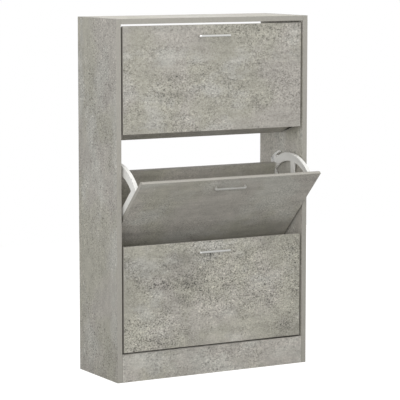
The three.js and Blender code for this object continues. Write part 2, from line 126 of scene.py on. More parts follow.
def soft_box(name, place, aim, size, power):
    """A square studio light with a soft edge, aimed at a point."""
    data = bpy.data.lights.new(name, "AREA")
    data.size = size
    data.energy = power
    lamp = bpy.data.objects.new(name, data)
    lamp.location = place
    lamp.rotation_euler = (Vector(aim) - Vector(place)).to_track_quat("-Z", "Y").to_euler()
    bpy.context.scene.collection.objects.link(lamp)


soft_box("overhead_light", (-0.4, -0.9, 4.2), (0, 0.1, 0.6), 2.6, 58)
soft_box("front_light", (-1.0, -4.6, 1.4), (0, 0, 0.5), 2.0, 32)
soft_box("side_light", (-3.8, -3.0, 1.3), (0, 0, 0.5), 2.0, 52)


# ---------------------------------------------------------------------------------------------------
# Concrete-look decor. A printed and embossed melamine face on every board: warm grey, clouded with
# greenish and rosy patches, trowel streaks along its length, dark pits and pale flecks.
def combine(tree, operation, a, b):
    """Adds a maths node on two values, each a number or a socket, and gives its result."""
    maths = node(tree, "ShaderNodeMath", {"operation": operation})
    for index, value in enumerate((a, b)):
        if isinstance(value, float):
            maths.inputs[index].default_value = value
        else:
            wire(tree, value, maths.inputs[index])
    return maths.outputs[0]


def decor_group():
    """Builds the shader group for the decor; the streaks lie along the vector's X."""
    tree = bpy.data.node_groups.new("concrete_decor", "ShaderNodeTree")
    for name, default in (("Streaks", 1.0), ("Pits", 1.0), ("Clouding", 1.0), ("Drift", 0.0), ("Tone", 1.0)):
        socket = tree.interface.new_socket(name, in_out="INPUT", socket_type="NodeSocketFloat")
        socket.default_value = default
    tree.interface.new_socket("Place", in_out="INPUT", socket_type="NodeSocketVector")
    tree.interface.new_socket("Colour", in_out="OUTPUT", socket_type="NodeSocketColor")
    tree.interface.new_socket("Roughness", in_out="OUTPUT", socket_type="NodeSocketFloat")
    tree.interface.new_socket("Height", in_out="OUTPUT", socket_type="NodeSocketFloat")
    given = node(tree, "NodeGroupInput")
    result = node(tree, "NodeGroupOutput")

    def clouds(scale, detail, rough, stretch=(1, 1, 1), shift=(0, 0, 0)):
        spread = node(tree, "ShaderNodeMapping", Scale=stretch, Location=shift)
        cloud = node(tree, "ShaderNodeTexNoise", Scale=scale, Detail=detail, Roughness=rough)
        wire(tree, given.outputs["Place"], spread.inputs["Vector"])
        wire(tree, spread.outputs[0], cloud.inputs["Vector"])
        return cloud.outputs["Fac"]

    def fade(source, low, high, to_low=0.0, to_high=1.0):
        curve = node(tree, "ShaderNodeMapRange", {"interpolation_type": "SMOOTHSTEP"})
        for key, value in (("From Min", low), ("From Max", high), ("To Min", to_low), ("To Max", to_high)):
            curve.inputs[key].default_value = value
        wire(tree, source, curve.inputs["Value"])
        return curve.outputs[0]

    def blend_colours(amount, a, b):
        mix = node(tree, "ShaderNodeMix", {"data_type": "RGBA"})
        wire(tree, amount, mix.inputs["Factor"])
        for key, value in (("A", a), ("B", b)):
            socket = next(s for s in mix.inputs if s.name == key and s.type == "RGBA")
            if isinstance(value, tuple):
                socket.default_value = value
            else:
                wire(tree, value, socket)
        return next(s for s in mix.outputs if s.type == "RGBA")

    olive = (0.388, 0.374, 0.320, 1)
    rosy = (0.408, 0.386, 0.350, 1)
    pale = (0.452, 0.441, 0.402, 1)
    pit_darkening = 0.34
    fleck_lightening = 0.36
    pit_dullness = 0.12
    plain_roughness = 0.50
    patches = fade(clouds(4.6, 4.0, 0.55), 0.42, 0.58)
    bloom = fade(clouds(7.5, 5.0, 0.62, (0.7, 1.2, 1.2), (3.1, 0.4, 1.7)), 0.50, 0.64)
    ground = blend_colours(patches, olive, rosy)
    ground = blend_colours(bloom, ground, pale)

    mottle = fade(clouds(30.0, 5.0, 0.68, (0.7, 1.15, 1.15), (1.3, 5.2, 0.6)), 0.34, 0.66, -0.08, 0.08)
    mottle = combine(tree, "MULTIPLY", mottle, given.outputs["Clouding"])
    streaks = fade(clouds(13.0, 5.0, 0.62, (0.28, 3.0, 3.0), (0.2, 2.2, 4.1)), 0.34, 0.66, -0.075, 0.075)
    streaks = combine(tree, "MULTIPLY", streaks, given.outputs["Streaks"])
    worn = fade(clouds(6.0, 3.0, 0.55, (0.8, 1.1, 1.1), (7.7, 1.1, 0.9)), 0.38, 0.60, 0.35, 1.0)
    worn = combine(tree, "MULTIPLY", worn, given.outputs["Pits"])
    fine = clouds(235.0, 3.0, 0.75, (0.85, 1.1, 1.1))
    coarse = clouds(95.0, 2.0, 0.6, (0.8, 1.2, 1.2), (2.7, 8.1, 3.3))
    pits = combine(tree, "ADD", fade(fine, 0.49, 0.35, 0.0, 1.25), fade(coarse, 0.42, 0.30, 0.0, 0.55))
    pits = combine(tree, "MULTIPLY", pits, worn)
    flecks = combine(tree, "ADD", fade(fine, 0.53, 0.67, 0.0, 1.15), fade(coarse, 0.60, 0.72, 0.0, 0.7))
    flecks = combine(tree, "MULTIPLY", flecks, worn)

    drift = fade(clouds(2.3, 2.0, 0.5, (1.3, 1, 1), (0.9, 6.3, 2.8)), 0.42, 0.58, -1.0, 1.0)
    drift = combine(tree, "MULTIPLY", drift, given.outputs["Drift"])
    shade = combine(tree, "ADD", mottle, streaks)
    shade = combine(tree, "ADD", shade, drift)
    shade = combine(tree, "ADD", shade, 1.0)
    shade = combine(tree, "SUBTRACT", shade, combine(tree, "MULTIPLY", pits, pit_darkening))
    shade = combine(tree, "ADD", shade, combine(tree, "MULTIPLY", flecks, fleck_lightening))
    shade = combine(tree, "MULTIPLY", shade, given.outputs["Tone"])
    scaled = node(tree, "ShaderNodeVectorMath", {"operation": "SCALE"})
    wire(tree, ground, scaled.inputs[0])
    wire(tree, shade, scaled.inputs["Scale"])
    wire(tree, scaled.outputs[0], result.inputs["Colour"])
    dullness = combine(tree, "ADD", combine(tree, "MULTIPLY", pits, pit_dullness), plain_roughness)
    wire(tree, dullness, result.inputs["Roughness"])
    wire(tree, combine(tree, "SUBTRACT", mottle, pits), result.inputs["Height"])
    return tree


decor = decor_group()


def decor_material(name, shift, turn=(0, 0, 0), streaks=1.0, pits=1.0, clouding=1.0, tone=1.0, drift=0.0):
    """Decor for one board: shift picks the part of the print, turn lays its streaks."""
    material, tree, out = blank_material(name)
    place = node(tree, "ShaderNodeTexCoord")
    lay = node(tree, "ShaderNodeMapping", Rotation=turn, Location=shift)
    printed = node(
        tree,
        "ShaderNodeGroup",
        {"node_tree": decor},
        Streaks=streaks,
        Pits=pits,
        Clouding=clouding,
        Drift=drift,
        Tone=tone,
    )
    emboss = node(tree, "ShaderNodeBump", Strength=0.25, Distance=0.0004)
    shader = node(tree, "ShaderNodeBsdfPrincipled")
    shader.inputs["Specular IOR Level"].default_value = 0.42
    wire(tree, place.outputs["Object"], lay.inputs["Vector"])
    wire(tree, lay.outputs[0], printed.inputs["Place"])
    wire(tree, printed.outputs["Colour"], shader.inputs["Base Color"])
    wire(tree, printed.outputs["Roughness"], shader.inputs["Roughness"])
    wire(tree, printed.outputs["Height"], emboss.inputs["Height"])
    wire(tree, emboss.outputs[0], shader.inputs["Normal"])
    wire(tree, shader.outputs[0], out.inputs[0])
    return material


def grain_group():
    """A fine, even grain that moulded, rolled and extruded surfaces share: a value about one half."""
    tree = bpy.data.node_groups.new("fine_grain", "ShaderNodeTree")
    tree.interface.new_socket("Place", in_out="INPUT", socket_type="NodeSocketVector")
    size = tree.interface.new_socket("Grains per metre", in_out="INPUT", socket_type="NodeSocketFloat")
    size.default_value = 800.0
    tree.interface.new_socket("Grain", in_out="OUTPUT", socket_type="NodeSocketFloat")
    given = node(tree, "NodeGroupInput")
    result = node(tree, "NodeGroupOutput")
    grains = node(tree, "ShaderNodeTexNoise", Detail=2.0, Roughness=0.5)
    wire(tree, given.outputs["Place"], grains.inputs["Vector"])
    wire(tree, given.outputs["Grains per metre"], grains.inputs["Scale"])
    wire(tree, grains.outputs["Fac"], result.inputs["Grain"])
    return tree


grain = grain_group()


def grained_material(name, dark, light, grains, roughness, metallic=0.0, stretch=(1, 1, 1), bump=0.1):
    """A material whose colour wavers between two tones with the fine grain, and whose gloss follows."""
    material, tree, out = blank_material(name)
    place = node(tree, "ShaderNodeTexCoord")
    lay = node(tree, "ShaderNodeMapping", Scale=stretch)
    grained = node(tree, "ShaderNodeGroup", {"node_tree": grain})
    grained.inputs["Grains per metre"].default_value = grains
    tones = node(tree, "ShaderNodeValToRGB")
    tones.color_ramp.elements[0].position = 0.3
    tones.color_ramp.elements[0].color = dark
    tones.color_ramp.elements[1].position = 0.7
    tones.color_ramp.elements[1].color = light
    gloss = node(tree, "ShaderNodeMapRange")
    gloss.inputs["To Min"].default_value = roughness[0]
    gloss.inputs["To Max"].default_value = roughness[1]
    relief = node(tree, "ShaderNodeBump", Strength=bump, Distance=0.0003)
    shader = node(tree, "ShaderNodeBsdfPrincipled", Metallic=metallic)
    wire(tree, place.outputs["Object"], lay.inputs["Vector"])
    wire(tree, lay.outputs[0], grained.inputs["Place"])
    wire(tree, grained.outputs[0], tones.inputs["Fac"])
    wire(tree, grained.outputs[0], gloss.inputs["Value"])
    wire(tree, grained.outputs[0], relief.inputs["Height"])
    wire(tree, tones.outputs["Color"], shader.inputs["Base Color"])
    wire(tree, gloss.outputs[0], shader.inputs["Roughness"])
    wire(tree, relief.outputs[0], shader.inputs["Normal"])
    wire(tree, shader.outputs[0], out.inputs[0])
    return material


# ---------------------------------------------------------------------------------------------------
# Boards. Chipboard faced with the decor on both sides; its narrow edges carry a plain grey plastic
# band, trimmed flush and broken to a small radius all round. Bores are drilled after the edging.
edge_band = grained_material(
    "edge_band_grey", (0.338, 0.324, 0.289, 1), (0.376, 0.361, 0.322, 1), 220.0, (0.42, 0.55), bump=0.04
)
arris = 0.0006
broad = 0.02
same_plane = 0.00001
softened_above = math.radians(40)


def end_profile(name):
    """The corners of a board's end, read from its node: (y, z) pairs in order round the outline."""
    points = [v.co for v in frame["nodes"][name].data.vertices]
    low_x = min(p.x for p in points)
    ends = list({(round(p.y, 6), round(p.z, 6)) for p in points if abs(p.x - low_x) < same_plane})
    ends.sort()
    return [ends[i] for i in convex_hull_2d([Vector(end) for end in ends])]


def rod_between(start, end, radius, sides=32):
    """A closed cylinder between two points, as a bmesh."""
    rod = bmesh.new()
    turn = (end - start).to_track_quat("Z", "Y").to_matrix().to_4x4()
    middle = Matrix.Translation((start + end) / 2) @ turn
    bmesh.ops.create_cone(
        rod,
        cap_ends=True,
        segments=sides,
        radius1=radius,
        radius2=radius,
        depth=(end - start).length,
        matrix=middle,
    )
    return rod


def loose_object(shells, name):
    """Puts closed shells into one object."""
    mesh = bpy.data.meshes.new(name)
    together = bmesh.new()
    for shell in shells:
        bmesh.ops.recalc_face_normals(shell, faces=shell.faces)
        shell.to_mesh(mesh)
        together.from_mesh(mesh)
        shell.free()
        mesh.clear_geometry()
    together.to_mesh(mesh)
    together.free()
    made = bpy.data.objects.new(name, mesh)
    bpy.context.scene.collection.objects.link(made)
    return made


def settled(maker):
    """The plain mesh that an object's modifiers give."""
    depsgraph = bpy.context.evaluated_depsgraph_get()
    return bpy.data.meshes.new_from_object(maker.evaluated_get(depsgraph), depsgraph=depsgraph)


def finish_piece(shells, name, body, materials, bores=(), sharp=50.0, soften=0.0):
    """Joins, drills, softens and shades a piece, and lets it ride on its body."""
    maker = loose_object(shells, f"{name}_blank")
    for material in materials:
        maker.data.materials.append(material)
    drill = None
    if bores:
        drill = loose_object(bores, f"{name}_drill")
        cut = maker.modifiers.new("drill", "BOOLEAN")
        cut.operation = "DIFFERENCE"
        cut.solver = "EXACT"
        cut.object = drill
    if soften:
        round_off = maker.modifiers.new("soften", "BEVEL")
        round_off.width = soften
        round_off.segments = 2
        round_off.limit_method = "ANGLE"
        round_off.angle_limit = softened_above
    mesh = settled(maker)
    mesh.shade_smooth()
    mesh.set_sharp_from_angle(angle=math.radians(sharp))
    piece = bpy.data.objects.new(name, mesh)
    mesh.name = name
    bpy.context.scene.collection.objects.link(piece)
    level = piece.modifiers.new("even_normals", "WEIGHTED_NORMAL")
    level.keep_sharp = True
    piece.data = settled(piece)
    piece.modifiers.clear()
    bpy.data.objects.remove(maker)
    if drill:
        bpy.data.objects.remove(drill)
    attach(piece, body)
    return piece


def board(cad_node, body, face, bores=()):
    """A faced board with banded, softened edges, in the place of a CAD node with a straight section."""
    outline = end_profile(cad_node)
    low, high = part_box(cad_node)
    shell = bmesh.new()
    left = [shell.verts.new((low.x, y, z)) for y, z in outline]
    right = [shell.verts.new((high.x, y, z)) for y, z in outline]
    shell.faces.new(left)
    shell.faces.new(reversed(right))
    count = len(outline)
    for i in range(count):
        j = (i + 1) % count
        shell.faces.new((left[j], left[i], right[i], right[j]))
    bmesh.ops.recalc_face_normals(shell, faces=shell.faces)
    bmesh.ops.bevel(
        shell, geom=shell.edges[:], offset=arris, segments=2, profile=0.5, affect="EDGES", clamp_overlap=True
    )
    for plane in shell.faces:
        corners = [v.co for v in plane.verts]
        reach = max((a - b).length for a in corners for b in corners)
        plane.material_index = 1 if plane.calc_area() / reach < broad else 0
    piece = finish_piece([shell], f"{cad_node}_board", body, [face, edge_band], bores)
    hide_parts(cad_node)
    return piece


# ---------------------------------------------------------------------------------------------------
# Carcass. Two tall sides with upright streaks, a top and a bottom panel between them, a plinth flush
# with their front edges, and three rails across the open back, for the wall screws.
upright = (0, math.radians(90), 0)
# The tones of the two sides and the top are painted light: the right side's decor is made lighter, standing
# in for the light that its shaded inner face lacks, the left side's is made darker against the side lamp,
# and the top's is made much lighter, as painted light and sheen where the overhead lamp falls.
decor_left = decor_material("decor_left_side", (0.4, 0.1, 2.3), upright, 0.3, 1.45, 1.1, 0.93, 0.05)
decor_right = decor_material("decor_right_side", (1.9, 3.1, 0.7), upright, 0.4, 1.1, 1.0, 1.14)
decor_top = decor_material("decor_top", (5.2, 1.4, 0.3), (0, 0, 0), 0.8, 0.5, 1.0, 1.26)
decor_plinth = decor_material("decor_plinth", (2.6, 0.3, 3.2), (0, 0, 0), 0.8, 1.2, 1.2, 1.02, 0.05)
decor_rails = decor_material("decor_rails", (0.8, 4.0, 1.9), pits=0.8)
bore_gap = 0.0003
levels = ("lower", "middle", "upper")
hands = ("left", "right")


def node_bore(cad_node, axis, radius):
    """A drill bit as long as a node, along one axis through its middle."""
    low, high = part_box(cad_node)
    start = (low + high) / 2
    end = start.copy()
    start[axis] = low[axis] - bore_gap
    end[axis] = high[axis] + bore_gap
    return rod_between(start, end, radius)


pin_spigot = 0.004
peg_spigot = 0.0025
for hand, face in (("left", decor_left), ("right", decor_right)):
    bores = []
    for level in levels:
        bores.append(node_bore(f"pivot_pin_{level}_{hand}", 0, pin_spigot + bore_gap))
        bores.append(node_bore(f"guide_peg_{level}_{hand}", 0, peg_spigot + bore_gap))
    board(f"side_panel_{hand}", "carcass", face, bores)

cam_radius = 0.0075
top_cams = [f"cam_lock_top_{i}" for i in range(1, 5)]
plinth_cams = [f"cam_lock_plinth_{hand}" for hand in hands]
rail_cams = {level: [f"cam_lock_rail_{level}_{hand}" for hand in hands] for level in levels}
board("top_panel", "carcass", decor_top, [node_bore(cam, 2, cam_radius + bore_gap) for cam in top_cams])
board("bottom_panel", "carcass", decor_rails)
board("plinth", "carcass", decor_plinth, [node_bore(cam, 1, cam_radius + bore_gap) for cam in plinth_cams])
for level in levels:
    rail_bores = [node_bore(cam, 1, cam_radius + bore_gap) for cam in rail_cams[level]]
    board(f"back_rail_{level}", "carcass", decor_rails, rail_bores)


# ---------------------------------------------------------------------------------------------------
# Trays. Each has a wide flap with level streaks, a bottom board that falls to the back and a back
# board that leans away; the print turns with the tray that stands open.
pivot_spot = Vector((0, 0.0925, 0.107))


def tray_place(level):
    """Where a tray's own frame lies: y from the cabinet's front, z from the flap's foot, when shut."""
    joint = next(j for j in frame["joints"] if j["child"] == f"tray_{level}")
    pivot = Vector(joint["pos_m"])
    swing = Matrix.Rotation(math.radians(-joint["range_deg"][0]), 4, "X")
    return Matrix.Translation(pivot) @ swing @ Matrix.Translation(-pivot_spot)


handle_holes = 0.096
hole_places = (-handle_holes / 2, handle_holes / 2)
handle_height = 0.2725
screw_hole = 0.0019
flap_bore_end = 0.016
prints = {
    "lower": ((0.3, 1.2, 0.45), 1.75, 1.5, 0.93, 0.14),
    "middle": ((2.1, 0.6, 1.4), 1.05, 0.9, 1.02, 0.03),
    "upper": ((4.4, 2.0, 3.3), 1.3, 0.9, 0.94, 0.0),
}
for level, (shift, pits, clouding, tone, drift) in prints.items():
    place = tray_place(level)
    turn = (-place.to_euler().x, 0, 0)
    flap_decor = decor_material(f"decor_flap_{level}", shift, turn, 0.9, pits, clouding, tone, drift)
    inner_decor = decor_material(f"decor_tray_{level}", shift[::-1], turn, 1.2, 0.8)
    bores = []
    for x in hole_places:
        front = place @ Vector((x, 0, handle_height))
        back = place @ Vector((x, flap_bore_end, handle_height))
        bores.append(rod_between(front, back, screw_hole, 16))
    board(f"flap_front_{level}", f"tray_{level}", flap_decor, bores)
    board(f"bottom_board_{level}", f"tray_{level}", inner_decor)
    board(f"back_board_{level}", f"tray_{level}", inner_decor)


# ---------------------------------------------------------------------------------------------------
# Side brackets. White moulded plastic, one to each end of a tray: a rim on an arc, struts along the
# boards' ends, a hub that turns on the pivot pin, and a hook that catches the guide peg.
# These sizes are millimetres in the tray's own frame, and the mesh is scaled to metres at the end.
mm = 0.001
plate_out = 293.5
plate_in = 290.5
lip_reach = 8.0
lip = 2.5
flap_back = 14.3
pin_at = Vector((92.5, 107.0))
rim_centre = Vector((45.0, 112.0))
rim_radius = 152.0
rim_width = 25.0
front_leg = 18.0
bottom_leg = 14.0
back_leg = 12.0
crossbar = 24.0
spoke = 12.0
spoke_head_width = 24.0
hub_leg = 14.0
hook_gap = 8.0
hook_width = 6.0
hook_foot, hook_root, hook_tip = 5.0, 14.0, 22.0
lip_start = 38.0
stop_radius = 4.0
raise_out = 4.5
hub_radius = 18
boss_radius = 11
boss_in = 4
gusset_length = 45
bottom_front = Vector((14.3, 3.4))
tray_corner = Vector((104.0, -25.2))
back_lean = math.radians(28.5)
white_plastic = grained_material(
    "moulded_white", (0.765, 0.76, 0.73, 1), (0.815, 0.81, 0.78, 1), 900.0, (0.32, 0.44), bump=0.05
)


def around(centre, radius, angle):
    """A point on a circle, with the angle in degrees."""
    return centre + radius * Vector((math.cos(math.radians(angle)), math.sin(math.radians(angle))))


def bearing(centre, point):
    """The angle of a point seen from a centre, in degrees."""
    return math.degrees(math.atan2(point.y - centre.y, point.x - centre.x))


def meeting(p, d, q, e):
    """Where the line from p along d meets the line from q along e."""
    cross = d.x * e.y - d.y * e.x
    return p + d * (((q.x - p.x) * e.y - (q.y - p.y) * e.x) / cross)


def leaving(p, d, centre, radius):
    """Where the line from p along d leaves a circle."""
    offset = p - centre
    half = offset.dot(d)
    return p + d * (-half + math.sqrt(half * half - offset.length_squared + radius * radius))


def slab(points, x0, x1):
    """A flat closed plate with the outline points, between two places across the tray."""
    shell = bmesh.new()
    near = [shell.verts.new((x0, p.x, p.y)) for p in points]
    far = [shell.verts.new((x1, p.x, p.y)) for p in points]
    shell.faces.new(near)
    shell.faces.new(reversed(far))
    for i in range(len(points)):
        j = (i + 1) % len(points)
        shell.faces.new((near[j], near[i], far[i], far[j]))
    return shell


def strip(p, q, width, x0, x1):
    """A straight plate with one edge from p to q and its width to the left of it."""
    run = (q - p).normalized()
    left = Vector((-run.y, run.x)) * width
    return slab([p, q, q + left, p + left], x0, x1)


def bar(p, q, width, x0, x1):
    """A straight plate centred on the line from p to q."""
    run = (q - p).normalized()
    right = Vector((run.y, -run.x)) * (width / 2)
    return strip(p + right, q + right, width, x0, x1)


def arc(inner, outer, start, end, x0, x1, step=2.0):
    """A curved plate round the rim's centre, between two angles in degrees."""
    count = max(1, math.ceil((end - start) / step))
    angles = [start + (end - start) * i / count for i in range(count + 1)]
    outside = [around(rim_centre, outer, a) for a in angles]
    inside = [around(rim_centre, inner, a) for a in reversed(angles)]
    return slab(outside + inside, x0, x1)


def disc(centre, radius, x0, x1, sides=48):
    """A round plate."""
    return slab([around(centre, radius, 360 * i / sides) for i in range(sides)], x0, x1)


bottom_run = (tray_corner - bottom_front).normalized()
bottom_up = Vector((-bottom_run.y, bottom_run.x))
back_run = Vector((math.sin(back_lean), math.cos(back_lean)))
back_in = Vector((-back_run.y, back_run.x))
back_top_inset = 5.4
back_top = leaving(tray_corner, back_run, rim_centre, rim_radius - back_top_inset)
peg_radius = 3.0
peg_gap = 0.4
peg_stand_off = 3.0
open_turn = 45
peg_reach = rim_radius + peg_stand_off
peg_angle = hook_root + math.degrees(math.asin((peg_radius + peg_gap) / peg_reach))
peg_open = around(rim_centre, peg_reach, peg_angle)
peg_arm = (peg_open - pin_at).length
stop_turn = open_turn + math.degrees((peg_radius + stop_radius + peg_gap) / peg_arm)
stop_at = around(pin_at, peg_arm, bearing(pin_at, peg_open) + stop_turn)
rim_inner = rim_radius - rim_width
rim_top = math.degrees(math.acos((flap_back - rim_centre.x) / rim_radius))
rim_crest = around(rim_centre, rim_radius, rim_top)
hook_inner = rim_radius + hook_gap
hook_outer = hook_inner + hook_width
leg_middle = Vector((flap_back + front_leg / 2, pin_at.y))
crossbar_end = meeting(pin_at, Vector((1, 0)), tray_corner, back_run) + back_in * (back_leg / 2)
spoke_drop = 4
spoke_foot = Vector((leg_middle.x, pin_at.y - spoke_drop + front_leg / 2))
spoke_head = stop_at + Vector((1, 1)).normalized() * (spoke / 2)
spoke_right = Vector((spoke_head.y - spoke_foot.y, spoke_foot.x - spoke_head.x)).normalized()
hub_leg_rise = 3
hub_leg_foot = bottom_front + bottom_run * (pin_at.x - bottom_front.x) + bottom_up * hub_leg_rise
stop_root = around(rim_centre, rim_radius - rim_width / 2, bearing(rim_centre, stop_at))


def bracket_shells():
    """The closed solids that a right-hand bracket is the sum of."""
    out, inn, low, high = plate_out, plate_in, plate_in - lip_reach, plate_out + raise_out
    leg_x = flap_back + front_leg
    return [
        arc(rim_inner, rim_radius, hook_foot, rim_top, inn, out),
        strip(Vector((leg_x, bottom_front.y)), Vector((leg_x, rim_crest.y - lip)), front_leg, inn, out),
        strip(bottom_front, tray_corner, bottom_leg, inn, out),
        strip(tray_corner, back_top, back_leg, inn, out),
        bar(leg_middle, crossbar_end, crossbar, inn, out),
        bar(pin_at, hub_leg_foot, hub_leg, inn, out),
        slab(
            [
                spoke_foot + spoke_right * (spoke / 2),
                spoke_head + spoke_right * (spoke_head_width / 2),
                spoke_head - spoke_right * (spoke_head_width / 2),
                spoke_foot - spoke_right * (spoke / 2),
            ],
            inn,
            out,
        ),
        bar(stop_at, stop_root, stop_radius * 2, inn, out),
        slab(
            [
                around(rim_centre, rim_inner, hook_foot),
                back_top - back_run * gusset_length,
                around(rim_centre, hook_outer, hook_foot),
            ],
            inn,
            out,
        ),
        disc(pin_at, hub_radius, inn, out),
        arc(rim_inner, hook_outer, hook_foot, hook_root, inn, high),
        arc(hook_inner, hook_outer, hook_foot, hook_tip, inn, high),
        disc(around(rim_centre, (hook_inner + hook_outer) / 2, hook_tip), hook_width / 2, inn, high),
        disc(stop_at, stop_radius, inn, high),
        disc(pin_at, boss_radius, inn - boss_in, high),
        arc(rim_radius - lip, rim_radius, lip_start, rim_top, low, out),
        strip(
            Vector((flap_back + lip, bottom_leg + lip)),
            Vector((flap_back + lip, rim_crest.y - lip)),
            lip,
            low,
            out,
        ),
    ]


def fused(shells, name):
    """One closed bmesh out of overlapping closed solids."""
    first = loose_object(shells[:1], f"{name}_first")
    others = loose_object(shells[1:], f"{name}_others")
    join = first.modifiers.new("join", "BOOLEAN")
    join.operation = "UNION"
    join.solver = "EXACT"
    join.use_self = True
    join.object = others
    mesh = settled(first)
    whole = bmesh.new()
    whole.from_mesh(mesh)
    bpy.data.objects.remove(first)
    bpy.data.objects.remove(others)
    bpy.data.meshes.remove(mesh)
    bmesh.ops.remove_doubles(whole, verts=whole.verts, dist=0.01)
    bmesh.ops.dissolve_limit(whole, angle_limit=math.radians(0.5), verts=whole.verts, edges=whole.edges)
    return whole


right_bracket = fused(bracket_shells(), "bracket")
both_ends = (("left", -1), ("right", 1))
bore_start, bore_end = 0.2, 0.3
pin_bore = 0.0048
for level in levels:
    place = tray_place(level)
    for hand, side in both_ends:
        shell = right_bracket.copy()
        bmesh.ops.transform(shell, matrix=place @ Matrix.Diagonal((side * mm, mm, mm, 1)), verts=shell.verts)
        bmesh.ops.recalc_face_normals(shell, faces=shell.faces)
        hub = place @ Vector((side * bore_start, pin_at.x * mm, pin_at.y * mm))
        hub_end = place @ Vector((side * bore_end, pin_at.x * mm, pin_at.y * mm))
        bore = rod_between(hub, hub_end, pin_bore, 48)
        piece = finish_piece(
            [shell],
            f"moulded_bracket_{level}_{hand}",
            f"tray_{level}",
            [white_plastic],
            [bore],
            sharp=40.0,
            soften=0.0004,
        )
        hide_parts(f"bracket_{level}_{hand}")
right_bracket.free()


# ---------------------------------------------------------------------------------------------------
# Pivot pins and guide pegs. Both are pressed into bores in the cabinet's sides. A pin is turned steel
# with a collar; a peg is a short white plastic stud that stands in the bracket's hook when open.
steel = grained_material(
    "zinc_plated_steel",
    (0.52, 0.52, 0.50, 1),
    (0.66, 0.66, 0.64, 1),
    1200.0,
    (0.22, 0.34),
    metallic=1.0,
    bump=0.03,
)


def turned(steps, sides=40):
    """A piece turned round X: steps are (reach into the cabinet, radius) from the buried end on."""
    shell = bmesh.new()
    rings = []
    for reach, radius in steps:
        ring = []
        for i in range(sides):
            angle = 2 * math.pi * i / sides
            ring.append(shell.verts.new((-reach, radius * math.cos(angle), radius * math.sin(angle))))
        rings.append(ring)
    for a, b in zip(rings, rings[1:]):
        for i in range(sides):
            j = (i + 1) % sides
            shell.faces.new((a[i], a[j], b[j], b[i]))
    shell.faces.new(rings[0])
    shell.faces.new(reversed(rings[-1]))
    bmesh.ops.recalc_face_normals(shell, faces=shell.faces)
    return shell


pin_steps = [
    (-0.0100, 0.0034),
    (-0.0094, 0.0040),
    (0.0003, 0.0040),
    (0.0003, 0.0076),
    (0.0006, 0.0080),
    (0.0013, 0.0080),
    (0.0017, 0.0077),
    (0.0017, 0.0045),
    (0.0145, 0.0045),
    (0.0149, 0.0043),
    (0.0155, 0.0035),
]
peg_steps = [
    (-0.0090, 0.0021),
    (-0.0086, 0.0025),
    (0.0003, 0.0025),
    (0.0003, 0.0030),
    (0.0050, 0.0030),
    (0.0055, 0.0028),
    (0.0058, 0.0024),
]
inner_face = 0.3
for level in levels:
    for hand, side in both_ends:
        for kind, steps, finish, slot in (
            ("pivot_pin", pin_steps, steel, "fastener_steel"),
            ("guide_peg", peg_steps, white_plastic, "bracket_plastic"),
        ):
            name = f"{kind}_{level}_{hand}"
            low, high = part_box(name)
            middle = (low + high) / 2
            shell = turned(steps)
            spot = Matrix.Translation((side * inner_face, middle.y, middle.z))
            bmesh.ops.transform(shell, matrix=spot @ Matrix.Diagonal((side, 1, 1, 1)), verts=shell.verts)
            piece = finish_piece([shell], f"turned_{name}", "carcass", [finish], sharp=35.0)
            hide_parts(name)


# ---------------------------------------------------------------------------------------------------
# Handles. A bow bent from bright drawn bar, brushed along its length, with two feet that stand on the
# flap and take a screw each from behind.
bow_half = 0.052
bow_foot = 0.008
bow_height = 0.0055
bow_face = 0.0017
bow_front = -0.0103
bow_bar = 0.005
bow_corner = 0.005
bow_corner_steps = 8
bow_chamfer = 0.001
bow_bore = 0.0018
bow_bore_depth = 0.008
breakthrough = 0.001
bow_metal = grained_material(
    "brushed_bright_metal",
    (0.80, 0.80, 0.78, 1),
    (0.90, 0.90, 0.88, 1),
    1500.0,
    (0.34, 0.46),
    metallic=1.0,
    stretch=(0.06, 1, 1),
    bump=0.08,
)


def bow_outline():
    """The bow seen from above: (x, y) pairs, with rounded corners outside and inside."""
    points = [(-bow_half, bow_face)]
    for i in range(bow_corner_steps + 1):
        angle = math.pi + i * math.pi / (2 * bow_corner_steps)
        points.append(
            (
                -bow_half + bow_corner + bow_corner * math.cos(angle),
                bow_front + bow_corner + bow_corner * math.sin(angle),
            )
        )
    points += [(-x, y) for x, y in reversed(points)]
    inside = bow_half - bow_foot
    back = bow_front + bow_bar
    points += [(inside, bow_face), (inside, back + bow_chamfer), (inside - bow_chamfer, back)]
    points += [(-inside + bow_chamfer, back), (-inside, back + bow_chamfer), (-inside, bow_face)]
    return points


for level in levels:
    place = tray_place(level)
    shell = bmesh.new()
    outline = bow_outline()
    lower = [shell.verts.new((x, y, handle_height - bow_height / 2)) for x, y in outline]
    upper = [shell.verts.new((x, y, handle_height + bow_height / 2)) for x, y in outline]
    shell.faces.new(lower)
    shell.faces.new(reversed(upper))
    for i in range(len(outline)):
        j = (i + 1) % len(outline)
        shell.faces.new((lower[j], lower[i], upper[i], upper[j]))
    bmesh.ops.transform(shell, matrix=place, verts=shell.verts)
    bores = []
    for x in hole_places:
        mouth = place @ Vector((x, bow_face + breakthrough, handle_height))
        end = place @ Vector((x, bow_face - bow_bore_depth, handle_height))
        bores.append(rod_between(mouth, end, bow_bore, 16))
    piece = finish_piece(
        [shell],
        f"bow_handle_{level}",
        f"tray_{level}",
        [bow_metal],
        bores,
        sharp=40.0,
        soften=0.0008,
    )
    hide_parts(f"handle_{level}")


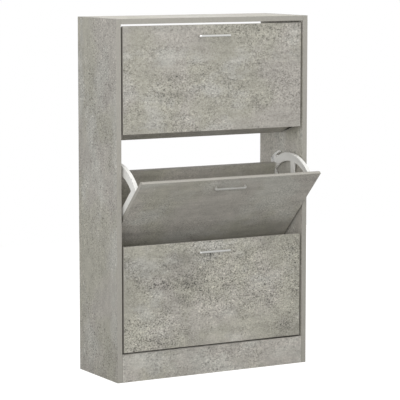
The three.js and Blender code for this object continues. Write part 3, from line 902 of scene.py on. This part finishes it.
# ---------------------------------------------------------------------------------------------------
# Screws and cams. Pressed and plated, each with a chamfered round head and a cross recess; the cams
# lie in bores in the boards, the screws hold the handles and clamp the brackets to the boards.
def head_tree():
    """Geometry nodes that put a cross-recessed head, with or without a shank, on every given point."""
    tree = bpy.data.node_groups.new("cross_recess_heads", "GeometryNodeTree")
    tree.interface.new_socket("Spots", in_out="INPUT", socket_type="NodeSocketGeometry")
    head_sizes = ("Radius", "Height", "Chamfer", "Recess span", "Recess width", "Recess depth")
    for name in head_sizes + ("Shank radius", "Shank length"):
        tree.interface.new_socket(name, in_out="INPUT", socket_type="NodeSocketFloat")
    tree.interface.new_socket("Sides", in_out="INPUT", socket_type="NodeSocketInt")
    tree.interface.new_socket("Has shank", in_out="INPUT", socket_type="NodeSocketBool")
    tree.interface.new_socket("Finish", in_out="INPUT", socket_type="NodeSocketMaterial")
    tree.interface.new_socket("Heads", in_out="OUTPUT", socket_type="NodeSocketGeometry")
    given = node(tree, "NodeGroupInput")
    result = node(tree, "NodeGroupOutput")

    def lifted(geometry, height):
        place = node(tree, "ShaderNodeCombineXYZ")
        move = node(tree, "GeometryNodeTransform")
        wire(tree, height, place.inputs["Z"])
        wire(tree, place.outputs[0], move.inputs["Translation"])
        wire(tree, geometry, move.inputs["Geometry"])
        return move.outputs[0]

    body_height = combine(tree, "SUBTRACT", given.outputs["Height"], given.outputs["Chamfer"])
    drum = node(tree, "GeometryNodeMeshCylinder")
    wire(tree, given.outputs["Sides"], drum.inputs["Vertices"])
    wire(tree, given.outputs["Radius"], drum.inputs["Radius"])
    wire(tree, body_height, drum.inputs["Depth"])
    crown = node(tree, "GeometryNodeMeshCone")
    wire(tree, given.outputs["Sides"], crown.inputs["Vertices"])
    crown_radius = combine(tree, "SUBTRACT", given.outputs["Radius"], given.outputs["Chamfer"])
    wire(tree, crown_radius, crown.inputs["Radius Top"])
    wire(tree, given.outputs["Radius"], crown.inputs["Radius Bottom"])
    wire(tree, given.outputs["Chamfer"], crown.inputs["Depth"])
    head = node(tree, "GeometryNodeMeshBoolean", {"operation": "UNION", "solver": "EXACT"})
    half_body = combine(tree, "MULTIPLY", body_height, 0.5)
    wire(tree, lifted(drum.outputs["Mesh"], half_body), head.inputs["Mesh 2"])
    wire(tree, lifted(crown.outputs["Mesh"], body_height), head.inputs["Mesh 2"])

    slots = []
    double_depth = combine(tree, "MULTIPLY", given.outputs["Recess depth"], 2.0)
    for along_x in (True, False):
        extent = node(tree, "ShaderNodeCombineXYZ")
        long_side, short_side = ("X", "Y") if along_x else ("Y", "X")
        wire(tree, given.outputs["Recess span"], extent.inputs[long_side])
        wire(tree, given.outputs["Recess width"], extent.inputs[short_side])
        wire(tree, double_depth, extent.inputs["Z"])
        cutter = node(tree, "GeometryNodeMeshCube")
        wire(tree, extent.outputs[0], cutter.inputs["Size"])
        slots.append(lifted(cutter.outputs["Mesh"], given.outputs["Height"]))
    recess = node(tree, "GeometryNodeMeshBoolean", {"operation": "DIFFERENCE", "solver": "EXACT"})
    wire(tree, head.outputs["Mesh"], recess.inputs["Mesh 1"])
    for slot_shape in slots:
        wire(tree, slot_shape, recess.inputs["Mesh 2"])

    shank = node(tree, "GeometryNodeMeshCylinder", Vertices=12)
    wire(tree, given.outputs["Shank radius"], shank.inputs["Radius"])
    wire(tree, given.outputs["Shank length"], shank.inputs["Depth"])
    with_shank = node(tree, "GeometryNodeJoinGeometry")
    half_down = combine(tree, "MULTIPLY", given.outputs["Shank length"], -0.5)
    wire(tree, lifted(shank.outputs["Mesh"], half_down), with_shank.inputs[0])
    wire(tree, recess.outputs["Mesh"], with_shank.inputs[0])
    either = node(tree, "GeometryNodeSwitch", {"input_type": "GEOMETRY"})
    wire(tree, given.outputs["Has shank"], either.inputs["Switch"])
    wire(tree, recess.outputs["Mesh"], either.inputs["False"])
    wire(tree, with_shank.outputs[0], either.inputs["True"])

    facing = node(tree, "GeometryNodeInputNamedAttribute", {"data_type": "FLOAT_VECTOR"}, Name="facing")
    aim = node(tree, "FunctionNodeAlignRotationToVector", {"axis": "Z"})
    wire(tree, facing.outputs["Attribute"], aim.inputs["Vector"])
    strew = node(tree, "GeometryNodeInstanceOnPoints")
    wire(tree, given.outputs["Spots"], strew.inputs["Points"])
    wire(tree, either.outputs[0], strew.inputs["Instance"])
    wire(tree, aim.outputs[0], strew.inputs["Rotation"])
    real = node(tree, "GeometryNodeRealizeInstances")
    dress = node(tree, "GeometryNodeSetMaterial")
    wire(tree, strew.outputs[0], real.inputs[0])
    wire(tree, real.outputs[0], dress.inputs["Geometry"])
    wire(tree, given.outputs["Finish"], dress.inputs["Material"])
    wire(tree, dress.outputs[0], result.inputs[0])
    return tree


heads = head_tree()
cam_head = {
    "Radius": 0.0075,
    "Height": 0.0115,
    "Chamfer": 0.0006,
    "Recess span": 0.0092,
    "Recess width": 0.0016,
    "Recess depth": 0.003,
    "Sides": 40,
    "Has shank": False,
}
handle_screw_head = {
    "Radius": 0.004,
    "Height": 0.0025,
    "Chamfer": 0.0011,
    "Recess span": 0.0042,
    "Recess width": 0.0009,
    "Recess depth": 0.0014,
    "Shank radius": 0.0015,
    "Shank length": 0.0192,
    "Sides": 28,
    "Has shank": True,
}
bracket_screw_head = {
    "Radius": 0.003,
    "Height": 0.0012,
    "Chamfer": 0.0006,
    "Recess span": 0.0032,
    "Recess width": 0.0007,
    "Recess depth": 0.0009,
    "Sides": 24,
    "Has shank": False,
}


def heads_at(spots, shape, name, body):
    """One piece out of the heads at the spots; a spot is a place and the way that its head faces."""
    mesh = bpy.data.meshes.new(f"{name}_spots")
    mesh.from_pydata([spot for spot, _ in spots], [], [])
    facing = mesh.attributes.new("facing", "FLOAT_VECTOR", "POINT")
    for i, (_, way) in enumerate(spots):
        facing.data[i].vector = way
    maker = bpy.data.objects.new(f"{name}_maker", mesh)
    bpy.context.scene.collection.objects.link(maker)
    modifier = maker.modifiers.new("heads", "NODES")
    modifier.node_group = heads
    for item in heads.interface.items_tree:
        if item.in_out == "INPUT" and item.name in shape:
            modifier[item.identifier] = shape[item.name]
        if item.in_out == "INPUT" and item.name == "Finish":
            modifier[item.identifier] = steel
    made = settled(maker)
    made.name = name
    made.shade_smooth()
    made.set_sharp_from_angle(angle=math.radians(30))
    bpy.data.objects.remove(maker)
    piece = bpy.data.objects.new(name, made)
    bpy.context.scene.collection.objects.link(piece)
    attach(piece, body)
    return piece


cam_spots = []
for cam in top_cams:
    low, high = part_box(cam)
    cam_spots.append((Vector(((low.x + high.x) / 2, (low.y + high.y) / 2, high.z)), (0, 0, -1)))
for cam in plinth_cams + [cam for level in levels for cam in rail_cams[level]]:
    low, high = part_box(cam)
    cam_spots.append((Vector(((low.x + high.x) / 2, low.y, (low.z + high.z) / 2)), (0, 1, 0)))
cams = heads_at(cam_spots, cam_head, "cam_locks", "carcass")
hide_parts(*top_cams, *plinth_cams, *[cam for level in levels for cam in rail_cams[level]])

lip_screw_inset = 4.2
lip_screw_heights = (60, 150, 235)
bottom_screw_inset = 5
bottom_screw_shares = (0.3, 0.8)
back_screw_inset = 6
back_screw_shares = (0.2, 0.8)
for level in levels:
    place = tray_place(level)
    way = place.to_3x3()
    rear = way @ Vector((0, 1, 0))
    spots = [(place @ Vector((x, flap_back * mm, handle_height)), rear) for x in hole_places]
    screws = heads_at(spots, handle_screw_head, f"handle_screws_{level}", f"tray_{level}")
    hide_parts(f"handle_screw_{level}_left", f"handle_screw_{level}_right")

    lip_spots = []
    for side in (-1, 1):
        x = side * (plate_in - lip_screw_inset)
        for z in lip_screw_heights:
            lip_spots.append((Vector((x, flap_back + lip, z)), Vector((0, 1, 0))))
        outside = Vector((side, 0, 0))
        for share in bottom_screw_shares:
            spot = bottom_front.lerp(tray_corner, share) + bottom_up * bottom_screw_inset
            lip_spots.append((Vector((side * plate_out, spot.x, spot.y)), outside))
        for share in back_screw_shares:
            spot = tray_corner.lerp(back_top, share) + back_in * back_screw_inset
            lip_spots.append((Vector((side * plate_out, spot.x, spot.y)), outside))
    spots = [(place @ (spot * mm), way @ facing) for spot, facing in lip_spots]
    heads_at(spots, bracket_screw_head, f"bracket_screws_{level}", f"tray_{level}")
